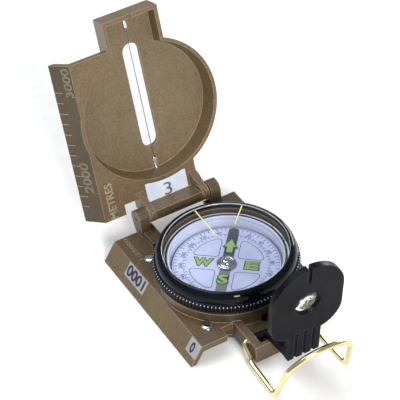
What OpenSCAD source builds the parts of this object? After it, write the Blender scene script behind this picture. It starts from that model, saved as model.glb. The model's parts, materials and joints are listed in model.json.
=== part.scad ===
// Folding sighting compass: die-cast base with a ruler edge, a turning bezel, a
// damped dial capsule, a hinged lid with a sighting wire, a fold-out lens
// bracket and a wire thumb loop.
//
// Frame: X to the right, Y towards the lid hinge, Z up. The origin is on the
// bezel axis at the underside of the base. Millimetres. The model is drawn in
// use: lid open, lens bracket and thumb loop swung out.

/* [Base] */
// Height of the top face of the base plate
plate_top = 7.1; // [6.5:0.1:8]
// Thickness of the base plate
plate_t = 2.4; // [2:0.1:3]
// Distance from the bezel axis to the ruler edge of the plate
ruler_x = 25.5; // [25:0.1:27]
// How far the sloping ruler face spreads outwards
ruler_spread = 4.6; // [3:0.1:5]
// Distance from the bezel axis to the front edge of the plate
plate_front = 26.7; // [26:0.1:28]
// Distance from the bezel axis to the back edge of the plate
plate_back = 33.8; // [33.6:0.1:33.9]
// Distance from the bezel axis to the plain right edge of the plate
plate_right = 23.3; // [22.5:0.1:24.5]
// Outer radius of the capsule housing
housing_r = 25.0; // [24.6:0.1:25.2]
// Height of the shoulder that the bezel turns on
housing_top = 10.6; // [10.4:0.1:10.7]

/* [Front tongue] */
// Half width of the tongue
tongue_hw = 11.3; // [11:0.1:11.4]
// Distance from the bezel axis to the front face of the tongue
tongue_front = 37.4; // [37:0.1:38]
// Height of the top of the tongue rails
tongue_top = 7.65; // [7.6:0.05:8]

/* [Bezel and capsule] */
// Radius over the knurled teeth
knurl_r = 25.3; // [25.1:0.05:25.4]
// Number of teeth on the bezel
knurl_teeth = 120; // [60:12:120]
// Height of the top edge of the bezel
bezel_top = 18.7; // [18.5:0.1:18.9]
// Radius of the opening over the glass
glass_open_r = 21.7; // [21:0.1:21.9]
// Radius of the dial card
dial_r = 18.7; // [18:0.1:19]
// Height of the upper face of the dial card
dial_z = 10.1; // [9.6:0.1:10.5]
// Bearing that the drawn dial points to, clockwise from +Y
dial_angle = 40; // [0:1:359]

/* [Lid] */
// Opening angle of the lid from closed
open_angle = 107.2; // [0:0.1:180]
// Height of the hinge axis
hinge_z = 12.6; // [12.5:0.1:13]
// Distance from the bezel axis to the hinge axis
hinge_y = 34.3; // [34.2:0.1:34.6]
// Length of the lid plate, from the hinge axis to its outer corner
lid_len = 60.7; // [60:0.1:62]
// Height of the lid rim above the hinge axis, closed
rim_w = 5.3; // [5.2:0.1:5.6]
// Height of the lid's back face above the hinge axis, closed
back_w = 12.5; // [12.2:0.1:12.8]
// Radius of the lid dish at its rim, outside
dish_r = 26.4; // [26.2:0.1:26.8]
// Depth of the dish below its rim
dish_depth = 5.7; // [5.5:0.1:5.8]
// Distance from the hinge axis to the front face of the tab
tab_len = 70.9; // [70.5:0.1:71.5]
// Half width of the tab at its rim
tab_hw = 10.7; // [10.2:0.1:10.8]
// Half width of the sighting slot
slot_hw = 3.1; // [2.5:0.1:3.5]

/* [Lens bracket] */
// Distance from the bezel axis to the bracket's pivot
pivot_y = 31.8; // [31.6:0.1:32]
// Height of the bracket's pivot
pivot_z = 6.3; // [6.2:0.1:6.5]
// Swing of the bracket from folded to upright
bracket_swing = 96.8; // [95:0.1:98]
// Length of the upright plate
head_len = 42.4; // [40:0.1:43]
// Radius of the round head
head_r = 13.35; // [12.5:0.05:13.5]
// Thickness of the upright plate
head_t = 2.4; // [2:0.1:2.5]
// Height of the lens centre along the upright plate
lens_s = 25.8; // [24:0.1:27]

/* [Thumb loop] */
// Thickness of the wire
wire_d = 2.1; // [1.8:0.1:2.1]
// Half width of the loop at its corners
loop_hw = 13.7; // [13.5:0.1:14]
// Distance from the bezel axis to the loop's lower corners
loop_y = 53.2; // [52:0.1:54]
// Number of straight steps in the bowed crossbar
loop_steps = 12; // [6:2:16]

/* [Hidden] */
$fn = 96;
run_gap = 0.05;       // radial clearance of a running fit

casting = [0.36, 0.28, 0.18];
black = [0.07, 0.08, 0.10];
silver = [0.78, 0.78, 0.76];
card_white = [0.86, 0.87, 0.95];
label_grey = [0.70, 0.70, 0.74];
brass = [0.80, 0.72, 0.42];
clear_glass = [0.85, 0.92, 0.95, 0.35];

// Base
plate_bottom = plate_top - plate_t;
ruler_wall = 2.1;
bore_r = 21.9;
cover_t = 1.4;
spigot_r = 22.9;
spigot_top = 16.2;
screw_xy = 19.35;
screw_r = 0.8;
screw_head_r = 2.1;
screw_head_h = 0.9;
boss_r = 2.5;
block_out = 15.4;
block_in = 10.5;
block_front = 24.0;
block_top = 8.5;
hinge_gap_y = 27.6;    // the plate is cut away behind this, between the blocks
ear_in = 12.5;
ear_out = 16.3;
ear_r = 3.3;
pin_r = 0.9;

// Tongue
rail_t = 2.8;
tongue_bottom = 0.95;
floor_t = 1.3;
front_wall_t = 1.4;
shelf_y = 30.2;
shelf_z = 5.0;
notch_hw = 15.75;
notch_y = 22.6;
window_hw = 1.6;
window_z = [2.5, 7.5];

// Bezel
bezel_bottom = housing_top + 0.3;
knurl_h = 3.1;
tooth_depth = 0.45;
band_r = 24.3;
bezel_bore = spigot_r + run_gap;
glass_r = 22.7;
glass_top = 18.2;
glass_bottom = 17.0;
retainer_z = 12.4;
retainer_h = 0.6;

// Capsule
capsule_r = 21.6;
capsule_in = 19.6;
capsule_bottom = 5.2;
capsule_floor = 6.4;
capsule_rim = 14.4;
capsule_top = 15.4;
card_t = 0.4;
post_r = 0.4;
magnet_hw = 1.8;
magnet_end = 16.2;
magnet_t = 0.5;

// Lid
plate_w = 2.3;
floor_w = rim_w + dish_depth;
draft = 1.2;
tab_draft = 0.2;
rim_t = 1.25;
dish_u = hinge_y;
arm_in = 9.2;
arm_out = 12.2;
barrel_r = 3.0;
heel = [-1.7, 2.2];
flange_tip = [1.9, -4.0];
slot_u0 = 19.0;
slot_u1 = 58.5;
ferrule_r = 0.95;
wire_w = 11.25;          // height of the sighting wire
sight_wire_r = 0.16;
wire_u = [11.6, 65.9];
low_ferrule_u = [9.0, 14.6];
high_ferrule_u = [64.3, 67.4];

// Bracket, drawn at rest about its pivot
lean = bracket_swing - 90;
foot_hw = 6.0;
foot_x = -16.7;
foot_z = 2.3;
hub_r = 1.35;
hub_hw = 8.3;
groove_gap = 3.3;
shoulder_r = 9;
shoulder_s = 20;
lens_hole_r = 4.2;
lens_bevel_r = 4.9;

// Thumb loop
wire_r = wire_d / 2;
loop_z = 1.1;
loop_end_x = 10.1;
bend_steps = 4;
elbow_x = 12.5;
jog_x = 13.3;
hook_in = 1.6;
hook_dy = 5.2;
hook_dz = 14.4;
hook_bow = 6.6;

// ---------------------------------------------------------------- helpers

// Places children drawn in the lid's own frame: X across, -Y out from the
// hinge axis, Z away from the base when the lid is shut.
module lid_place() {
  translate([0, hinge_y, hinge_z])
    rotate([-open_angle, 0, 0])
      children();
}

// A shape given as [distance from hinge, height] and run across the lid.
module lid_profile(x0, x1, pts) {
  translate([x0, 0, 0])
    rotate([90, 0, 90])
      linear_extrude(x1 - x0)
        polygon([for (p = pts) [-p[0], p[1]]]);
}

// A shape given as [Y, Z] and run along X between x0 and x1.
module cross_profile(x0, x1, pts) {
  translate([x0, 0, 0])
    rotate([90, 0, 90])
      linear_extrude(x1 - x0)
        polygon(pts);
}

// A cylinder along X.
module x_rod(x0, x1, r) {
  translate([x0, 0, 0])
    rotate([0, 90, 0])
      cylinder(h = x1 - x0, r = r);
}

module ring(r_out, r_in, z0, z1) {
  difference() {
    translate([0, 0, z0]) cylinder(h = z1 - z0, r = r_out);
    translate([0, 0, z0 - 1]) cylinder(h = z1 - z0 + 2, r = r_in);
  }
}

function unit(v) = v / norm(v);

// Direction of a path at its point i.
function path_dir(p, i) =
  i == 0 ? unit(p[1] - p[0]) :
  i == len(p) - 1 ? unit(p[i] - p[i - 1]) :
  unit(unit(p[i] - p[i - 1]) + unit(p[i + 1] - p[i]));

// One side direction for each point, turned as little as possible on the way.
function path_sides(p, i = 0, n = [0, 0, 1]) =
  i == len(p) ? [] :
  let (t = path_dir(p, i), m = unit(n - (n * t) * t))
  concat([m], path_sides(p, i + 1, m));

// Rounds each inner corner of a path into an arc of bend_steps pieces.
function round_corners(p, cut) =
  concat([p[0]],
    [for (i = [1:len(p) - 2])
      let (a = p[i - 1] - p[i], b = p[i + 1] - p[i],
           c = min(cut, 0.45 * norm(a), 0.45 * norm(b)),
           q0 = p[i] + c * unit(a), q2 = p[i] + c * unit(b))
      for (k = [0:bend_steps])
        let (s = k / bend_steps)
        (1 - s) * (1 - s) * q0 + 2 * s * (1 - s) * p[i] + s * s * q2],
    [p[len(p) - 1]]);

// A round wire of radius r along a path.
module wire(p, r, sides = 14) {
  n = len(p);
  normals = path_sides(p);
  points = [for (i = [0:n - 1])
    let (t = path_dir(p, i), u = normals[i], v = cross(t, u))
    for (k = [0:sides - 1])
      p[i] + r * (cos(360 * k / sides) * u + sin(360 * k / sides) * v)];
  walls = [for (i = [0:n - 2])
    for (k = [0:sides - 1])
      let (a = i * sides + k, b = i * sides + (k + 1) % sides)
      [b, a, a + sides, b + sides]];
  caps = [[for (k = [0:sides - 1]) k],
          [for (k = [sides - 1:-1:0]) (n - 1) * sides + k]];
  polyhedron(points, concat(walls, caps));
}

module place_at_screws() {
  for (sx = [-1, 1])
    for (sy = [-1, 1])
      translate([sx * screw_xy, sy * screw_xy, 0])
        children();
}

// ---------------------------------------------------------------- base

module base_plate() {
  translate([0, 0, plate_bottom])
    linear_extrude(plate_t)
      polygon([[-ruler_x, -plate_front], [-notch_hw, -plate_front], [-notch_hw, -notch_y],
               [notch_hw, -notch_y], [notch_hw, -plate_front], [plate_right, -plate_front],
               [plate_right, plate_back], [block_in, plate_back], [block_in, hinge_gap_y],
               [-block_in, hinge_gap_y], [-block_in, plate_back], [-ruler_x, plate_back]]);
  cross_slope = ruler_spread * plate_bottom / plate_top;
  translate([0, plate_back, 0])
    rotate([90, 0, 0])
      linear_extrude(plate_back + plate_front)
        polygon([[-ruler_x, plate_top], [-ruler_x - ruler_spread, 0],
                 [-ruler_x - ruler_spread + ruler_wall, 0],
                 [-ruler_x - ruler_spread + ruler_wall + cross_slope, plate_bottom],
                 [-ruler_x + 2, plate_top]]);
}

module rear_blocks() {
  for (x = [-block_out, block_in])
    translate([x, block_front, plate_bottom])
      cube([block_out - block_in, plate_back - block_front, block_top - plate_bottom]);
}

module hinge_ears() {
  for (side = [-1, 1])
    translate([side > 0 ? ear_in : -ear_out, 0, 0]) {
      translate([0, hinge_y, hinge_z]) x_rod(0, ear_out - ear_in, ear_r);
      cross_profile(0, ear_out - ear_in,
        [[hinge_y - ear_r - 0.9, plate_bottom], [hinge_y - 0.5, plate_bottom],
         [hinge_y + ear_r - 0.8, hinge_z - 2.6], [hinge_y + ear_r, hinge_z],
         [hinge_y - ear_r, hinge_z]]);
    }
}

module tongue() {
  for (side = [-1, 1])
    translate([side > 0 ? tongue_hw - rail_t : -tongue_hw, -tongue_front, tongue_bottom])
      cube([rail_t, tongue_front - 20, tongue_top - tongue_bottom]);
  translate([-tongue_hw, -tongue_front, tongue_bottom])
    cube([2 * tongue_hw, tongue_front - 20, floor_t]);
  translate([-tongue_hw, -tongue_front, tongue_bottom])
    cube([2 * tongue_hw, front_wall_t, tongue_top - tongue_bottom]);
  translate([-tongue_hw + 1, -shelf_y, tongue_bottom])
    cube([2 * tongue_hw - 2, shelf_y - 20, shelf_z - tongue_bottom]);
}

module base_frame() {
  color(casting)
    difference() {
      union() {
        base_plate();
        rear_blocks();
        hinge_ears();
        tongue();
        translate([0, 0, cover_t]) cylinder(h = housing_top - cover_t, r = housing_r);
        translate([0, 0, housing_top - 1]) cylinder(h = spigot_top - housing_top + 1, r = spigot_r);
        place_at_screws()
          translate([0, 0, cover_t]) cylinder(h = plate_top - cover_t, r = boss_r);
      }
      translate([0, 0, -1]) cylinder(h = 20, r = bore_r);
      translate([0, 0, -1]) cylinder(h = 1 + cover_t, r = housing_r + 0.1);
      place_at_screws()
        translate([0, 0, -1]) cylinder(h = 12, r = screw_r + 0.04);
      // groove for the snap ring
      difference() {
        translate([0, 0, retainer_z - 0.05]) cylinder(h = retainer_h + 0.1, r = spigot_r + 1);
        translate([0, 0, retainer_z - 1]) cylinder(h = retainer_h + 2, r = spigot_r - 0.45);
      }
      // window in the housing wall over the tongue
      translate([-window_hw, -housing_r - 1, window_z[0]])
        cube([2 * window_hw, 5, window_z[1] - window_z[0]]);
      // pivot bores
      translate([0, hinge_y, hinge_z]) x_rod(-30, 30, pin_r + 0.02);
      translate([0, -pivot_y, pivot_z]) {
        x_rod(-30, 30, pin_r + run_gap);
        for (x = [-30, loop_end_x - run_gap])
          x_rod(x, x + 30 - loop_end_x + run_gap, wire_r + run_gap);
      }
    }
}

module bottom_cover() {
  color(casting)
    difference() {
      union() {
        cylinder(h = cover_t, r = housing_r);
        place_at_screws() cylinder(h = cover_t, r = boss_r);
        ring(20, 18.6, cover_t - 0.2, capsule_bottom);
      }
      place_at_screws()
        translate([0, 0, -1]) cylinder(h = 4, r = screw_r + 0.04);
    }
}

module cover_screws() {
  color(silver)
    place_at_screws() {
      translate([0, 0, 0.3]) cylinder(h = plate_top - 0.3, r = screw_r);
      difference() {
        translate([0, 0, plate_top])
          rotate_extrude()
            polygon([[0, 0], [screw_head_r, 0], [screw_head_r, 0.35],
                     [screw_head_r - 0.35, 0.75], [0.6, screw_head_h], [0, screw_head_h]]);
        translate([-2, -0.2, plate_top + 0.5]) cube([4, 0.4, 1]);
      }
    }
}

// Thin springy washer between the housing shoulder and the bezel.
module bezel_spring() {
  color(silver) ring(24.2, 23.1, housing_top, housing_top + 0.25);
}

// Split snap ring that keeps the bezel on the spigot.
module bezel_retainer() {
  color(silver)
    difference() {
      ring(spigot_r + 0.35, spigot_r - 0.4, retainer_z, retainer_z + retainer_h);
      translate([-1.5, 20, retainer_z - 1]) cube([3, 5, 3]);
    }
}

// ---------------------------------------------------------------- capsule

module capsule_cup() {
  color(card_white)
    difference() {
      translate([0, 0, capsule_bottom])
        cylinder(h = capsule_rim - capsule_bottom, r = capsule_r);
      translate([0, 0, capsule_floor]) cylinder(h = 20, r = capsule_in);
      ring(21.0, 20.2, capsule_rim - 0.5, capsule_rim + 1);
    }
}

module capsule_seal() {
  color("dimgray") ring(20.95, 20.25, capsule_rim - 0.48, capsule_rim);
}

module capsule_window() {
  color(clear_glass)
    translate([0, 0, capsule_rim])
      cylinder(h = capsule_top - capsule_rim, r = capsule_r);
}

module pivot_post() {
  color(silver) {
    translate([0, 0, capsule_floor]) cylinder(h = 1, r = 1.6);
    translate([0, 0, capsule_floor]) cylinder(h = 4.2, r = post_r);
  }
}

// ---------------------------------------------------------------- dial

module quadrant_window() {
  difference() {
    circle(r = 13.0);
    translate([-30, -30]) square([60, 33.6]);
    translate([-30, -30]) square([33.3, 60]);
  }
}

module dial_card() {
  color(card_white)
    rotate([0, 0, -dial_angle])
      difference() {
        translate([0, 0, dial_z - card_t]) cylinder(h = card_t, r = dial_r);
        translate([0, 0, dial_z - 5]) cylinder(h = 10, r = 1.3);
        for (q = [0:3])
          rotate([0, 0, 90 * q])
            translate([0, 0, dial_z - 0.12])
              linear_extrude(1)
                quadrant_window();
      }
}

module bar_magnet() {
  color([0.35, 0.34, 0.36])
    rotate([0, 0, -dial_angle])
      difference() {
        translate([0, 0, dial_z])
          linear_extrude(magnet_t)
            union() {
              square([2 * magnet_hw, 2 * magnet_end], center = true);
              for (s = [-1, 1])
                translate([0, magnet_end * s]) circle(r = magnet_hw);
            }
        translate([0, 0, dial_z - 1]) cylinder(h = 3, r = 1.3);
      }
}

// Brass cup with the jewel that rides on the pivot post.
module jewel_cup() {
  color(brass)
    difference() {
      translate([0, 0, dial_z - 1.4]) cylinder(h = 2.6, r = 1.27);
      translate([0, 0, dial_z - 2]) cylinder(h = 2.6, r = post_r + run_gap);
    }
}

module hub_cap() {
  color(silver)
    translate([0, 0, dial_z + magnet_t])
      difference() {
        rotate_extrude()
          polygon([[0, 0], [3.3, 0], [3.3, 0.5], [2.7, 0.8], [2.1, 0.9],
                   [1.9, 1.4], [1.2, 2.0], [0, 2.2]]);
        translate([0, 0, -0.5]) cylinder(h = 1.3, r = 1.3);
      }
}

// ---------------------------------------------------------------- bezel

module bezel_profile() {
  polygon([[bezel_bore, bezel_bottom], [knurl_r - tooth_depth, bezel_bottom],
           [knurl_r - tooth_depth, bezel_bottom + knurl_h], [band_r, bezel_bottom + knurl_h + 0.1],
           [band_r + 0.1, 15.2], [band_r - 0.1, 16.4], [23.6, 17.6], [22.9, 18.4],
           [22.4, bezel_top], [22.0, bezel_top], [glass_open_r, 18.5],
           [glass_open_r, glass_top], [bezel_bore, glass_top]]);
}

module bezel_ring() {
  color(black)
    difference() {
      union() {
        rotate_extrude($fn = 120) bezel_profile();
        translate([0, 0, bezel_bottom])
          linear_extrude(knurl_h)
            difference() {
              circle(r = knurl_r, $fn = 4 * knurl_teeth);
              circle(r = knurl_r - tooth_depth - 0.4);
              for (i = [0:knurl_teeth - 1])
                rotate(360 / knurl_teeth * i)
                  translate([knurl_r + 0.05, 0]) circle(r = tooth_depth, $fn = 6);
            }
      }
      // groove that receives the snap ring
      translate([0, 0, retainer_z - 0.1]) cylinder(h = retainer_h + 0.2, r = spigot_r + 0.4);
    }
}

module bezel_glass() {
  color(clear_glass)
    translate([0, 0, glass_bottom])
      cylinder(h = glass_top - glass_bottom, r = glass_r);
}

module glass_gasket() {
  color("black") ring(spigot_r, 21.8, 16.5, glass_bottom);
}

module bearing_line(angle, r0, r1) {
  color([0.9, 0.88, 0.35])
    rotate([0, 0, -angle])
      translate([-0.2, r0, glass_top])
        cube([0.4, r1 - r0, 0.12]);
}

module long_bearing_line() {
  bearing_line(1, 6.2, 21.5);
}

module short_bearing_line() {
  bearing_line(46, 11.8, 21.5);
}

// ---------------------------------------------------------------- labels

// Thin number plate lying on the sloping ruler face.
module ruler_label(y0, y1, run) {
  slope = atan2(plate_top, ruler_spread);
  color(label_grey)
    translate([-ruler_x, y0, plate_top])
      rotate([0, 180 - slope, 0])
        translate([0.1, 0, -0.12])
          cube([run, y1 - y0, 0.12]);
}

module scale_label_1000() {
  ruler_label(9.3, 22.0, 5.3);
}

module scale_label_0() {
  ruler_label(-26.6, -20.5, 5.5);
}

// ---------------------------------------------------------------- lid

module lid_shell() {
  // dish, with draft
  translate([0, -dish_u, rim_w])
    cylinder(h = back_w - rim_w, r1 = dish_r, r2 = dish_r - draft);
  // tab, a little narrower at its back
  intersection() {
    translate([0, -20, 0])
      rotate([90, 0, 0])
        linear_extrude(tab_len)
          polygon([[-tab_hw, rim_w], [tab_hw, rim_w], [tab_hw - tab_draft, back_w],
                   [-tab_hw + tab_draft, back_w]]);
    lid_profile(-15, 15, [[dish_u, rim_w], [tab_len, rim_w], [tab_len - tab_draft, back_w],
                          [dish_u, back_w]]);
  }
  // flat plate beside the dish
  translate([-ruler_x, -lid_len, rim_w])
    cube([ruler_x, lid_len - 0.4, plate_w]);
  translate([-1, -dish_u, rim_w])
    cube([arm_out + 1, dish_u - 1, plate_w]);
  // ruler wall
  translate([0, -0.4, 0])
    rotate([90, 0, 0])
      linear_extrude(lid_len - 0.4)
        polygon([[-ruler_x, rim_w], [-ruler_x - ruler_spread, back_w],
                 [-ruler_x - ruler_spread + ruler_wall, back_w],
                 [-ruler_x + 1.0, rim_w + plate_w], [-ruler_x + 1.0, rim_w]]);
}

// The hinge end of the lid: a tapered flange each side, a barrel in each, and a
// squared web between them. Points are [distance from hinge, height].
module lid_hinge_parts() {
  for (side = [-1, 1]) {
    x_rod(side > 0 ? arm_in + 0.1 : -arm_out + 0.05, side > 0 ? arm_out - 0.05 : -arm_in - 0.1,
          barrel_r);
    intersection() {
      lid_profile(side > 0 ? arm_in : -arm_out, side > 0 ? arm_out : -arm_in,
        [[6.6, rim_w], [flange_tip[0], flange_tip[1]], [flange_tip[0] - 1, flange_tip[1]],
         [-1.2, -2.6], heel, [0.4, rim_w], [0.4, 7.6], [6.6, 7.6]]);
      rotate([90, 0, 0])
        linear_extrude(20, center = true)
          polygon([[side * arm_in, 9], [side * arm_out, 9], [side * arm_out, 3],
                   [side * (arm_out - 0.7), flange_tip[1] - 0.1],
                   [side * (arm_in + 1), flange_tip[1] - 0.1], [side * arm_in, 3]]);
    }
  }
  lid_profile(-arm_in - 0.5, arm_in + 0.5,
    [[1.4, rim_w], [1.0, -2.0], [-2.8, -1.0], heel, [0.4, rim_w], [0.4, 7.6], [1.4, 7.6]]);
}

module lid_casting() {
  color(casting)
    lid_place()
      difference() {
        union() {
          lid_shell();
          lid_hinge_parts();
        }
        // inside of the dish
        translate([0, -dish_u, rim_w - 0.001])
          cylinder(h = dish_depth, r1 = dish_r - rim_t, r2 = dish_r - rim_t - 1.4);
        // inside of the tab
        intersection() {
          translate([0, -dish_u, 0])
            rotate([90, 0, 0])
              linear_extrude(50)
                polygon([[-tab_hw + 1.3, rim_w - 1], [tab_hw - 1.3, rim_w - 1],
                         [tab_hw - 1.5, floor_w], [-tab_hw + 1.5, floor_w]]);
          lid_profile(-15, 15, [[dish_u + 10, rim_w - 1], [tab_len - 1.5, rim_w - 1],
                                [tab_len - 1.6, floor_w], [dish_u + 10, floor_w]]);
        }
        // sighting slot
        translate([0, 0, floor_w - 1])
          linear_extrude(5)
            union() {
              translate([-slot_hw, -slot_u1 + slot_hw])
                square([2 * slot_hw, slot_u1 - slot_u0 - 2 * slot_hw]);
              for (u = [slot_u0 + slot_hw, slot_u1 - slot_hw])
                translate([0, -u]) circle(r = slot_hw);
            }
        // sighting notch in the front of the tab
        translate([0, -tab_len + 5, rim_w])
          rotate([90, 0, 0])
            linear_extrude(8)
              polygon([[-0.7, -0.1], [0.7, -0.1], [0, 0.9]]);
        // relief around the left hinge ear
        translate([-17.2, -4.2, rim_w - 1]) cube([17.2 - arm_out, 5, 8]);
        // seats for the wire ferrules
        for (u = [low_ferrule_u, high_ferrule_u])
          translate([0, -u[0] + 0.3, wire_w])
            rotate([90, 0, 0])
              cylinder(h = u[1] - u[0] + 0.5, r = ferrule_r + 0.02);
        // groove for the sighting wire, from each ferrule to the slot
        translate([-0.3, -wire_u[1] - 0.1, floor_w - 1])
          cube([0.6, wire_u[1] - wire_u[0] + 0.7, 1.7]);
        // hinge pin bore
        x_rod(-30, 30, pin_r + run_gap);
      }
}

// Crimped sleeve from u[0] to u[1], with the bore that holds the wire.
module ferrule(u) {
  color(silver)
    lid_place()
      difference() {
        translate([0, -u[0], wire_w])
          rotate([90, 0, 0])
            cylinder(h = u[1] - u[0], r = ferrule_r);
        translate([0, -wire_u[0] + 0.1, wire_w])
          rotate([90, 0, 0])
            cylinder(h = wire_u[1] - wire_u[0] + 0.2, r = sight_wire_r + 0.03, $fn = 24);
      }
}

module lower_ferrule() {
  ferrule(low_ferrule_u);
}

module upper_ferrule() {
  ferrule(high_ferrule_u);
}

module sighting_wire() {
  color([0.45, 0.45, 0.47])
    lid_place()
      translate([0, -wire_u[0], wire_w])
        rotate([90, 0, 0])
          cylinder(h = wire_u[1] - wire_u[0], r = sight_wire_r, $fn = 24);
}

module number_label() {
  color([0.8, 0.84, 0.9])
    lid_place()
      translate([0, 0, rim_w - 0.15])
        linear_extrude(0.15)
          difference() {
            translate([-8.1, -8.6]) square([16.2, 7.1]);
            translate([0, -dish_u]) circle(r = dish_r + 0.2);
          }
}

// ---------------------------------------------------------------- bracket

// Points along an arc about [x, y], from angle a0 to angle a1.
function arc(x, y, r, a0, a1, n) =
  [for (i = [0:n])
    let (a = a0 + (a1 - a0) * i / n)
    [x + r * cos(a), y + r * sin(a)]];

// Outline of the upright plate, [x, height along the plate].
module head_outline() {
  shoulder_x = head_r - shoulder_r;
  neck_a = acos((foot_hw - shoulder_x) / shoulder_r);
  polygon(concat(
    [[-foot_hw, 0], [foot_hw, 0]],
    arc(shoulder_x, shoulder_s, shoulder_r, -neck_a, 0, 10),
    arc(0, head_len - head_r, head_r, 0, 180, 40),
    arc(-shoulder_x, shoulder_s, shoulder_r, 180, 180 + neck_a, 10)));
}

// Places children in the plane of the upright plate: X across, Z up the
// plate, Y from its outer face towards the compass.
module upright_place() {
  translate([0, foot_x, foot_z])
    rotate([lean, 0, 0])
      children();
}

module lens_bracket() {
  color(black)
    translate([0, -pivot_y, pivot_z])
      difference() {
        union() {
          x_rod(-hub_hw, hub_hw, hub_r);
          // foot with a filleted inner corner
          cross_profile(-foot_hw + 0.15, foot_hw - 0.15,
            [[-0.4, 0.2], [-3.4, 1.68], [foot_x + 0.6, foot_z + 0.3], [foot_x + 1.0, 10],
             [-15.1, 9.0], [-14.55, 7.3], [-13.6, 6.0], [-12.4, 5.1], [-11.0, 4.65],
             [-3.3, 4.2], [0.2, 0.5]]);
          upright_place()
            translate([0, head_t, 0])
              rotate([90, 0, 0])
                linear_extrude(head_t)
                  head_outline();
        }
        // sight slot
        upright_place()
          translate([-0.6, -1, head_len - 6.7]) cube([1.2, head_t + 2, 10]);
        // grip grooves
        upright_place()
          for (x = [-groove_gap, 0, groove_gap])
            translate([x - 0.5, -1, -1]) cube([1, 1.6, 13.5]);
        // pivot bore
        x_rod(-20, 20, pin_r + run_gap);
        // stepped lens seat
        upright_place()
          translate([0, 0, lens_s])
            rotate([-90, 0, 0])
              rotate_extrude()
                polygon([[0, -1], [lens_bevel_r, -1], [lens_bevel_r, 0.05],
                         [lens_hole_r, 0.75], [lens_hole_r, 1.0], [lens_bevel_r, 1.0],
                         [lens_bevel_r, 3.4], [0, 3.4]]);
      }
}

// Places children on the lens axis, +Z from the eye side towards the compass.
module lens_place() {
  translate([0, foot_x - pivot_y, foot_z + pivot_z])
    rotate([lean, 0, 0])
      translate([0, 0, lens_s])
        rotate([-90, 0, 0])
          children();
}

module sight_lens() {
  color(clear_glass)
    lens_place()
      rotate_extrude()
        polygon([[0, 0.35], [1.6, 0.42], [3.0, 0.62], [4.1, 0.95], [4.1, 1.0],
                 [4.85, 1.0], [4.85, 1.5], [3.0, 1.7], [0, 1.8]]);
}

module lens_retainer() {
  color(black) lens_place() ring(4.87, 3.9, 1.8, 2.3);
}

// ---------------------------------------------------------------- pins

module hinge_pin() {
  color(silver)
    translate([0, hinge_y, hinge_z]) x_rod(-ear_out + 0.4, ear_out - 0.4, pin_r);
}

module bracket_pin() {
  color(silver)
    translate([0, -pivot_y, pivot_z]) x_rod(-loop_end_x + 0.1, loop_end_x - 0.1, pin_r);
}

// ---------------------------------------------------------------- loop

// Points of the bowed crossbar from one end (t = -1) to the other (t = 1).
function bow_point(t) =
  let (reach = norm([hook_dy, hook_dz]),
       b = hook_bow * (1 - pow(abs(t), 2.5)))
  [t * (loop_hw - hook_in),
   -loop_y - hook_dy - b * hook_dy / reach,
   loop_z + hook_dz + b * hook_dz / reach];

// Corner points of one side of the loop, from its end in the rail outwards.
function loop_side(side) =
  [[side * loop_end_x, -pivot_y, pivot_z],
   [side * elbow_x, -pivot_y, pivot_z],
   [side * elbow_x, -36.4, 2.6],
   [side * jog_x, -37.4, 1.9],
   [side * loop_hw, -loop_y, loop_z]];

function backwards(p) = [for (i = [len(p) - 1:-1:0]) p[i]];

module thumb_loop() {
  path = concat(loop_side(-1),
                [for (i = [0:loop_steps]) bow_point(-1 + 2 * i / loop_steps)],
                backwards(loop_side(1)));
  color(brass) wire(round_corners(path, 1.8), wire_r);
}

// ---------------------------------------------------------------- output

base_frame();
bottom_cover();
cover_screws();
bezel_spring();
bezel_retainer();
capsule_cup();
capsule_seal();
capsule_window();
pivot_post();
hinge_pin();
bracket_pin();
scale_label_1000();
scale_label_0();
bezel_ring();
bezel_glass();
glass_gasket();
long_bearing_line();
short_bearing_line();
dial_card();
bar_magnet();
jewel_cup();
hub_cap();
lid_casting();
sighting_wire();
upper_ferrule();
lower_ferrule();
number_label();
lens_bracket();
sight_lens();
lens_retainer();
thumb_loop();
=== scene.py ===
import json
import math

import bmesh
import bpy
from mathutils import Matrix, Vector


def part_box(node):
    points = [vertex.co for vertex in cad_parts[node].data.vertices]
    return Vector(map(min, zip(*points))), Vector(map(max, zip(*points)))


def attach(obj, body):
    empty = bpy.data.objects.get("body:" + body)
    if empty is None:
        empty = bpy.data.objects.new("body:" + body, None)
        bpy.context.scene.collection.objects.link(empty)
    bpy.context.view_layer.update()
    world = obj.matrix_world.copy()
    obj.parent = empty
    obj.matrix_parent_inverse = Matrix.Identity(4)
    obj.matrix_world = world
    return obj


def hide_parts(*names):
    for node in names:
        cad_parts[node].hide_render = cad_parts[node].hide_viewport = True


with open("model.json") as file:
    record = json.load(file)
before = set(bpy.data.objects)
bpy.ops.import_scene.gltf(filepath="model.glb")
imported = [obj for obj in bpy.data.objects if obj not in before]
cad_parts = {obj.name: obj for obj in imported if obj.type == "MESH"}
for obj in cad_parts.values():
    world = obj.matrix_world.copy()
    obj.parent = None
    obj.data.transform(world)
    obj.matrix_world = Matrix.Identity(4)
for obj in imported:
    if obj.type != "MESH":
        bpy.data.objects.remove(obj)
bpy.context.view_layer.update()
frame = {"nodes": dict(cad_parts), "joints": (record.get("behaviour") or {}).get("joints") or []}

MM = 0.001
nodes = frame["nodes"]
joints = {j["name"]: j for j in frame["joints"]}
scene = bpy.context.scene

# ------------------------------------------------------------------ sizes, mm

GLASS_LO, GLASS_HI = (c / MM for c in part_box("bezel_glass"))
CARD_LO, CARD_HI = (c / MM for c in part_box("dial_card"))
BEZEL_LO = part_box("bezel_ring")[0] / MM

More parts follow.
